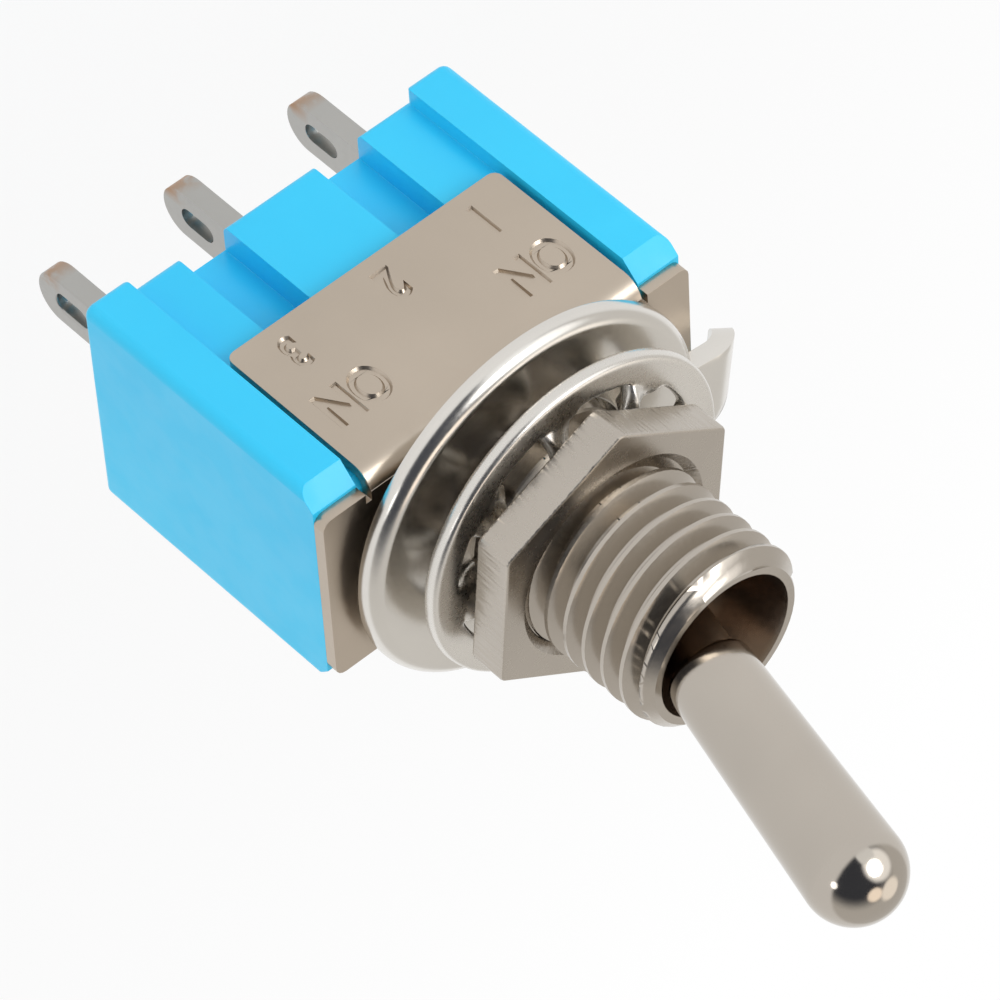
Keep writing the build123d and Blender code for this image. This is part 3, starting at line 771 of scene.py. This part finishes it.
class SWITCH_OT_ring(bpy.types.Operator):
    """Model the locating ring with its key and its bent tab"""

    bl_idname = "switch.ring"
    bl_label = "Locating ring"

    def execute(self, context):
        sizes, finishes = settings(context)
        low = 0.38 * MM
        high = low + sizes.ring_thickness
        piece = rod(sizes.ring_radius, low, high, sides=160)
        combine(piece, rod(sizes.ring_bore, low - CLEAR, high + CLEAR, sides=128), "DIFFERENCE")
        edit(piece, "EDGE")
        pick("edges", lambda a, b: (
            min(a.z, b.z) > high - NEAR and min(a.xy.length, b.xy.length) > sizes.ring_radius - NEAR
        ), sharp=True)
        bpy.ops.mesh.bevel(offset=sizes.ring_round, segments=7, affect="EDGES")
        pick("edges", lambda a, b: (
            max(a.z, b.z) < low + NEAR or max(a.xy.length, b.xy.length) < sizes.ring_bore + CLEAR
        ), sharp=True)
        bpy.ops.mesh.bevel(offset=sizes.ring_edge, segments=2, affect="EDGES")
        clear_selection()
        rooted = 0.6 * MM
        key = block(
            (sizes.key_reach, -sizes.key_width / 2, low + NEAR),
            (sizes.ring_bore + rooted, sizes.key_width / 2, high - NEAR),
        )
        combine(piece, key, "UNION")
        combine(piece, self.make_tab(sizes, (low + high) / 2), "UNION")
        merge(piece)
        piece.rotation_euler.z = sizes.ring_turn
        piece.location = (0, sizes.ring_shift, 0)
        settle(piece)
        finish = metal("ring_plating", finishes.ring_metal, rough=0.22, grain_depth=0.001)
        hand_over(
            piece, "keyed_locating_ring", "switch_body", ["locating_ring"], finish, smooth=40
        )
        return {"FINISHED"}

    def make_tab(self, sizes, middle):
        """Extrude a strip out of the ring and down its bend, then give it its thickness."""
        clear_selection()
        lap = 0.6 * MM
        start, end = sizes.ring_radius - 2 * lap, sizes.ring_radius - lap
        bpy.ops.mesh.primitive_plane_add(size=1, location=((start + end) / 2, 0, 0))
        tab = bpy.context.object
        tab.scale = (end - start, sizes.locator_width, 1)
        settle(tab)
        edit(tab, "EDGE", whole=True)
        bpy.ops.mesh.subdivide(number_cuts=7)
        reached, drop, middle_y = end, 0.0, 0.0
        pick("edges", lambda a, b: min(a.x, b.x) > reached - NEAR)
        half = sizes.locator_width / 2
        path = self.tab_path(sizes)
        for along, fall in [(sizes.locator_root, 0.0)] + path:
            draw_out(along - reached, 0, drop - fall)
            reached, drop = along, fall
            left = path[-1][0] - reached
            high = sizes.locator_width / 2 - self.rounded_off(left, sizes.locator_round, sizes.locator_round)
            low = self.rounded_off(left, sizes.locator_slant, sizes.locator_cut) - sizes.locator_width / 2
            grow(1, (high - low) / 2 / half, about=(0, middle_y, 0))
            bpy.ops.transform.translate(value=(0, (high + low) / 2 - middle_y, 0))
            half, middle_y = (high - low) / 2, (high + low) / 2
        clear_selection()
        modify(tab, "SOLIDIFY", thickness=sizes.ring_thickness - 2 * NEAR, offset=0, use_even_offset=True)
        merge(tab)
        soften(tab, sizes.ring_edge, 2, 50)
        tab.location.z = middle
        return settle(tab)

    def tab_path(self, sizes):
        """Places along the tab's bend and its straight end: how far out, and how far down."""
        root, bend, turn = sizes.locator_root, sizes.locator_bend, sizes.locator_angle
        places = []
        for part in shares(12)[1:]:
            places.append((root + bend * math.sin(turn * part), bend * (1 - math.cos(turn * part))))
        along, fall = places[-1]
        for part in shares(8)[1:]:
            run = sizes.locator_run * math.sin(math.radians(90) * part)
            places.append((along + run * math.cos(turn), fall + run * math.sin(turn)))
        return places

    def rounded_off(self, left, along, across):
        """How much a corner takes off the tab's side at a distance from the tab's end."""
        share = max(0.0, 1 - left / along)
        fullness = 0.96
        return across * (1 - math.sqrt(1 - share ** 2)) * fullness


class SWITCH_OT_support_frame(bpy.types.Operator):
    """Fold the support frame and press the words into its tab"""

    bl_idname = "switch.support_frame"
    bl_label = "Support frame"

    def execute(self, context):
        sizes, finishes = settings(context)
        sheet = sizes.sheet
        bend = sizes.bend_outside - sheet / 2
        flat = sizes.frame_width / 2 - sizes.bend_outside
        clear_selection()
        bpy.ops.mesh.primitive_plane_add(size=1, location=(0, 0, -sheet / 2))
        piece = context.object
        piece.scale = (sizes.tab_width, 2 * flat, 1)
        settle(piece)
        folds = 6
        for side in (1, -1):
            edit(piece, "EDGE")
            pick("edges", lambda a, b: min(side * a.y, side * b.y) > flat - NEAR)
            for _ in range(folds):
                draw_out(0, 0, 0)
                bpy.ops.transform.rotate(
                    value=side * math.radians(90) / folds, orient_axis="X",
                    center_override=(0, side * flat, -sheet / 2 - bend),
                )
            draw_out(0, 0, -(sizes.tab_drop - sheet / 2 - bend))
        pick("verts", lambda place: place.z < -sizes.tab_drop + NEAR)
        tab_corner, sheet_edge = 0.3 * MM, 0.05 * MM
        bpy.ops.mesh.bevel(offset=tab_corner, segments=4, affect="VERTICES")
        face_outwards()
        modify(piece, "SOLIDIFY", thickness=sheet, offset=0, use_even_offset=True)
        corner, gap = 0.35 * MM, 0.2 * MM
        end, edge = sizes.frame_length / 2, sizes.ear_width / 2
        ears = block((-end, -edge, -sheet), (end, edge, 0))
        edit(ears, "EDGE")
        pick("edges", lambda a, b: abs(a.z - b.z) > sheet / 2)
        bpy.ops.mesh.bevel(offset=corner, segments=4, affect="EDGES")
        clear_selection()
        for along in (1, -1):
            for side in (1, -1):
                x_low, x_high = sorted((along * sizes.tab_width / 2, along * (sizes.tab_width / 2 + gap)))
                y_low, y_high = sorted((side * (edge - corner), side * 2 * edge))
                combine(ears, block((x_low, y_low, -CLEAR), (x_high, y_high, CLEAR)), "DIFFERENCE")
        combine(piece, ears, "UNION")
        combine(piece, rod(sizes.spigot_radius, -CLEAR, CLEAR), "DIFFERENCE")
        merge(piece)
        soften(piece, sheet_edge, 2, 50)
        merge(piece, DOUBLES)
        for words, height, middle_x, middle_z, points in (
            ("ON", sizes.letter_height, 3.45, -2.53, 6), ("ON", sizes.letter_height, -3.3, -2.55, 6),
            ("1", sizes.digit_height, 3.5, -4.85, 3), ("2", sizes.digit_height, 0.1, -4.85, 3),
            ("3", sizes.digit_height, -3.5, -4.85, 3),
        ):
            letters = self.letters(sizes, words, height, points)
            letters.rotation_euler = (math.pi / 2, 0, math.pi)
            letters.location = (middle_x * MM, sizes.frame_width / 2, middle_z * MM)
            combine(piece, settle(letters), "DIFFERENCE")
        finish = metal(
            "frame_plating", finishes.frame_metal, rough=0.3, grain=4000.0, grain_depth=0.003,
            marks={"Stretch": (0.1, 1.0, 1.0), "Scale": 2500.0}, marks_depth=0.002,
        )
        hand_over(
            piece, "folded_support_frame", "switch_body", ["support_frame"], finish, smooth=30
        )
        return {"FINISHED"}

    def letters(self, sizes, words, height, points):
        """Words as a closed mesh, centred, as high as asked, with sloping sides below the face."""
        clear_selection()
        bpy.ops.object.text_add()
        text = bpy.context.object
        text.data.body = words
        text.data.align_x = "CENTER"
        text.data.align_y = "CENTER"
        text.data.extrude = 0.5
        text.data.offset = 0.04
        text.data.resolution_u = points
        bpy.ops.object.convert(target="MESH")
        text = bpy.context.object
        tall = text.dimensions.y
        middle = sum((Vector(corner) for corner in text.bound_box), Vector()) / 8
        text.data.transform(Matrix.Translation(-middle))
        above, below, doubles = 0.2 * MM, 0.004 * MM, 0.00005 * MM
        text.scale = (sizes.letter_narrow * height / tall, height / tall, (above + below) / text.dimensions.z)
        text.location.z = (above - below) / 2
        merge(settle(text), doubles)
        edit(text, "FACE")
        pick("faces", lambda place, normal: normal.z < -0.9)
        bpy.ops.mesh.inset(thickness=sizes.letter_slope, depth=sizes.letter_depth, use_even_offset=False)
        clear_selection()
        return merge(text, doubles)


class SWITCH_OT_housing(bpy.types.Operator):
    """Round the moulded edges of the housing"""

    bl_idname = "switch.housing"
    bl_label = "Housing"

    def execute(self, context):
        sizes, finishes = settings(context)
        piece = copy_of("housing")
        soften(piece, sizes.moulded_round, 3, 40)
        merge(piece, DOUBLES)
        finish = moulded("housing_plastic", finishes.housing_blue, finishes.housing_deep)
        hand_over(piece, "moulded_housing", "switch_body", ["housing"], finish, smooth=35)
        return {"FINISHED"}


class SWITCH_OT_terminals(bpy.types.Operator):
    """Round the edges of the three solder terminals"""

    bl_idname = "switch.terminals"
    bl_label = "Terminals"

    def execute(self, context):
        sizes, finishes = settings(context)
        finish = self.blade_plating_and_tip_reflection(finishes)
        for node_name in ("end_terminal_left", "centre_terminal", "end_terminal_right"):
            piece = copy_of(node_name)
            soften(piece, sizes.blade_round, 3, 40)
            merge(piece, DOUBLES)
            name = node_name.replace("terminal", "solder_lug")
            hand_over(piece, name, "switch_body", [node_name], finish, smooth=35)
        return {"FINISHED"}

    def blade_plating_and_tip_reflection(self, finishes):
        """Dull plating, with a painted brown reflection at the tips of the blades on their +Y side."""
        finish = metal(
            "terminal_plating", finishes.terminal_metal, rough=0.34, grain=4000.0, grain_depth=0.003
        )
        tree = finish.node_tree
        # Painted reflection: a brown patch at the blade tips, only on their +Y side, broken up by noise
        place, split = node(tree, "ShaderNodeTexCoord"), node(tree, "ShaderNodeSeparateXYZ")
        tip = node(tree, "ShaderNodeMapRange", {"From Min": -13.5 * MM, "From Max": -14.3 * MM})
        side = node(tree, "ShaderNodeMapRange", {"From Min": 0.2 * MM, "From Max": 0.6 * MM})
        noise = node(tree, "ShaderNodeTexNoise", {"Scale": 1500.0, "Detail": 3.0})
        patch = node(tree, "ShaderNodeMapRange", {"From Min": 0.42, "From Max": 0.55})
        tip_side_share = node(tree, "ShaderNodeMath", operation="MULTIPLY")
        tip_reflection_share = node(tree, "ShaderNodeMath", operation="MULTIPLY")
        wire(
            tree, (place, "Object", split, 0), (split, "Z", tip, "Value"), (split, "Y", side, "Value"),
            (place, "Object", noise, "Vector"), (noise, "Fac", patch, "Value"), (tip, "Result", tip_side_share, 0),
            (side, "Result", tip_side_share, 1), (tip_side_share, 0, tip_reflection_share, 0), (patch, "Result", tip_reflection_share, 1),
        )
        return lay_over(finish, tip_reflection_share, 0, finishes.terminal_tip_reflection)


class SWITCH_OT_inner_parts(bpy.types.Operator):
    """Give the works inside and the seals their finishes"""

    bl_idname = "switch.inner_parts"
    bl_label = "Inner parts and seals"

    def execute(self, context):
        finishes = context.scene.switch_finishes
        spring = metal("spring_wire", finishes.spring_metal, rough=0.3, grain=1500.0, grain_depth=0.005)
        brass = metal("contact_strip", finishes.contact_brass, rough=0.3, grain=1100.0, grain_depth=0.008)
        silver = metal("contact_button", finishes.contact_silver, rough=0.3, grain=1500.0, grain_depth=0.008)
        nylon = moulded("plunger_nylon_skin", finishes.nylon, finishes.nylon, rough=0.45)
        resin = moulded("seal_resin_skin", finishes.resin, finishes.housing_deep, rough=0.3)
        for names, finish in (
            (("pivot_pin", "plunger_spring"), spring), (("rocker_contact",), brass), (("plunger",), nylon),
            (("moving_contact_left", "moving_contact_right"), silver),
            (("fixed_contact_left", "fixed_contact_right"), silver),
            (("terminal_seal_left", "terminal_seal_centre", "terminal_seal_right"), resin),
        ):
            for name in names:
                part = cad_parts[name]
                if part.material_slots:
                    part.material_slots[0].material = finish
                else:
                    part.data.materials.append(finish)
        return {"FINISHED"}


# The studio's patches of light: each one's direction, the cosines of the angles at its rim and where it is
# full, and its colour. The last one is the white that goes on from the floor.
SOFT_BOXES = (
    ((0.40, 0.62, 0.67), 0.80, 0.91, (1.5, 1.5, 1.5, 1)),
    ((0.25, 0.93, 0.28), 0.93, 0.965, (1.15, 1.17, 1.18, 1)),
    ((-0.08, -0.12, 0.99), 0.955, 0.985, (1.7, 1.5, 1.3, 1)),
    ((0.42, -0.28, 0.86), 0.93, 0.97, (1.5, 1.42, 1.32, 1)),
)
WHITE_FOOT = ((0, 0, 1), 0.20, 0.04, (1.0, 1.0, 1.0, 1))


class SWITCH_OT_stage(bpy.types.Operator):
    """Set the floor, the studio light and the camera"""

    bl_idname = "switch.stage"
    bl_label = "Stage"

    def execute(self, context):
        stage = context.scene.switch_stage
        context.scene.view_settings.view_transform = "Standard"
        self.set_floor(stage)
        self.set_sky(context.scene, stage)
        self.set_lamps(stage)
        self.set_camera(context.scene, stage)
        return {"FINISHED"}

    def set_floor(self, stage):
        """A wide pale floor, near white with the object's soft shadow, also in the metal."""
        clear_selection()
        bpy.ops.mesh.primitive_plane_add(size=stage.floor_size, location=(0, 0, -stage.floor_drop))
        floor = settle(bpy.context.object)
        floor.name = "studio_floor"
        made = bpy.data.materials.new("floor_white")
        made.use_nodes = True
        tree = made.node_tree
        shader = tree.nodes["Principled BSDF"]
        shader.inputs["Base Color"].default_value = rgba(stage.floor_pale)
        shader.inputs["Roughness"].default_value = 0.9
        glow = node(tree, "ShaderNodeEmission", {"Strength": 1.0})
        shadow_rim, shadow_heart, shadow_share = 0.10, 0.04, 0.35
        shaded = from_axis(tree, shadow_rim, shadow_heart, most=shadow_share)
        seen = node(tree, "ShaderNodeMixShader")
        wire(tree, (shaded, "Result", seen, 0), (glow, 0, seen, 1), (shader, 0, seen, 2))
        self.by_ray(tree, shader, seen, tree.nodes["Material Output"])
        floor.data.materials.append(made)

    def by_ray(self, tree, lit, seen, output):
        """One shader for the light on the object, one for the camera, for reflections and through glass."""
        path = node(tree, "ShaderNodeLightPath")
        mirrored = node(tree, "ShaderNodeMath", operation="MAXIMUM")
        direct = node(tree, "ShaderNodeMath", operation="MAXIMUM")
        mix = node(tree, "ShaderNodeMixShader")
        wire(
            tree, (path, "Is Glossy Ray", mirrored, 0), (path, "Is Transmission Ray", mirrored, 1),
            (path, "Is Camera Ray", direct, 0), (mirrored, 0, direct, 1), (direct, 0, mix, 0),
            (lit, 0, mix, 1), (seen, 0, mix, 2), (mix, 0, output, "Surface"),
        )

    def set_sky(self, scene, stage):
        """Even light from a studio that is white at its foot, dim on one side and lit by soft boxes above."""
        world = bpy.data.worlds.new("studio")
        scene.world = world
        world.use_nodes = True
        tree = world.node_tree
        even = tree.nodes["Background"]
        even.inputs["Strength"].default_value = stage.sky_level
        even.inputs["Color"].default_value = (1.0, 1.0, 1.0, 1)
        place = node(tree, "ShaderNodeTexCoord")
        picture = None
        dim = (stage.dim_side, 0.0, 0.62, rgba(stage.room_dark))
        for axis, outer, inner, shade in (dim, *SOFT_BOXES, WHITE_FOOT):
            share = self.facing(tree, place.outputs["Generated"], axis, outer, inner)
            mix = node(tree, "ShaderNodeMix", {"A": rgba(stage.room_pale), "B": shade}, data_type="RGBA")
            wire(tree, (share, "Result", mix, "Factor"))
            if picture:
                wire(tree, (picture, "Result", mix, "A"))
            picture = mix
        studio = node(tree, "ShaderNodeBackground", {"Strength": 1.0})
        wire(tree, (picture, "Result", studio, "Color"))
        self.by_ray(tree, even, studio, tree.nodes["World Output"])

    def facing(self, tree, place, axis, outer, inner):
        """How nearly a direction of the studio faces an axis, from 0 to 1."""
        toward = node(tree, "ShaderNodeVectorMath", {1: Vector(axis).normalized()}, operation="DOT_PRODUCT")
        tree.links.new(place, toward.inputs[0])
        limits = {"From Min": outer, "From Max": inner}
        near = node(tree, "ShaderNodeMapRange", limits, interpolation_type="SMOOTHSTEP")
        tree.links.new(toward.outputs["Value"], near.inputs["Value"])
        return near

    def set_lamps(self, stage):
        """A large soft box above, right of the camera, and a small one left of it."""
        left_share = 0.12
        for name, place, size, power in (
            ("key_lamp", (0.10, 0.25, 0.30), 0.24, stage.key_power),
            ("left_lamp", (-0.40, 0.10, 0.06), 0.10, stage.key_power * left_share),
        ):
            lamp = bpy.data.lights.new(name, "AREA")
            lamp.energy = power
            lamp.shape = "DISK"
            lamp.size = size
            placed = bpy.data.objects.new(name, lamp)
            placed.location = place
            placed.rotation_euler = (-Vector(place)).to_track_quat("-Z", "Y").to_euler()
            bpy.context.scene.collection.objects.link(placed)

    def set_camera(self, scene, stage):
        """The camera at the photograph's place."""
        lens = bpy.data.cameras.new("camera")
        lens.lens = stage.lens
        lens.sensor_width = 36
        lens.clip_start = 0.01
        lens.clip_end = 20
        lens.shift_x = 0.0244
        lens.shift_y = 0.009
        camera = bpy.data.objects.new("camera", lens)
        right, up = stage.camera_right.normalized(), stage.camera_up.normalized()
        back = right.cross(up)
        turn = Matrix((right, up, back)).transposed().to_4x4()
        camera.matrix_world = Matrix.Translation(stage.camera_place) @ turn
        scene.collection.objects.link(camera)
        scene.camera = camera


STEPS = (
    "housing", "support_frame", "terminals", "bushing", "ring", "washer", "nut", "lever", "inner_parts",
    "stage",
)


class SWITCH_PT_steps(bpy.types.Panel):
    """Lists the pieces of the switch, in the order that they are made."""

    bl_idname = "SWITCH_PT_steps"
    bl_label = "Panel toggle switch"
    bl_space_type = "VIEW_3D"
    bl_region_type = "UI"
    bl_category = "Switch"

    def draw(self, context):
        for step in STEPS:
            self.layout.operator(f"switch.{step}")


CLASSES = (
    SwitchSizes, SwitchFinishes, SwitchStage, SWITCH_OT_housing, SWITCH_OT_support_frame,
    SWITCH_OT_terminals, SWITCH_OT_bushing, SWITCH_OT_ring, SWITCH_OT_washer, SWITCH_OT_nut,
    SWITCH_OT_lever, SWITCH_OT_inner_parts, SWITCH_OT_stage, SWITCH_PT_steps,
)


def register():
    for item in CLASSES:
        bpy.utils.register_class(item)
    bpy.types.Scene.switch_sizes = bpy.props.PointerProperty(type=SwitchSizes)
    bpy.types.Scene.switch_finishes = bpy.props.PointerProperty(type=SwitchFinishes)
    bpy.types.Scene.switch_stage = bpy.props.PointerProperty(type=SwitchStage)


def unregister():
    del bpy.types.Scene.switch_sizes, bpy.types.Scene.switch_finishes, bpy.types.Scene.switch_stage
    for item in reversed(CLASSES):
        bpy.utils.unregister_class(item)


def main():
    """Register the add-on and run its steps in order."""
    register()
    for step in STEPS:
        getattr(bpy.ops.switch, step)()


if __name__ == "__main__":
    main()
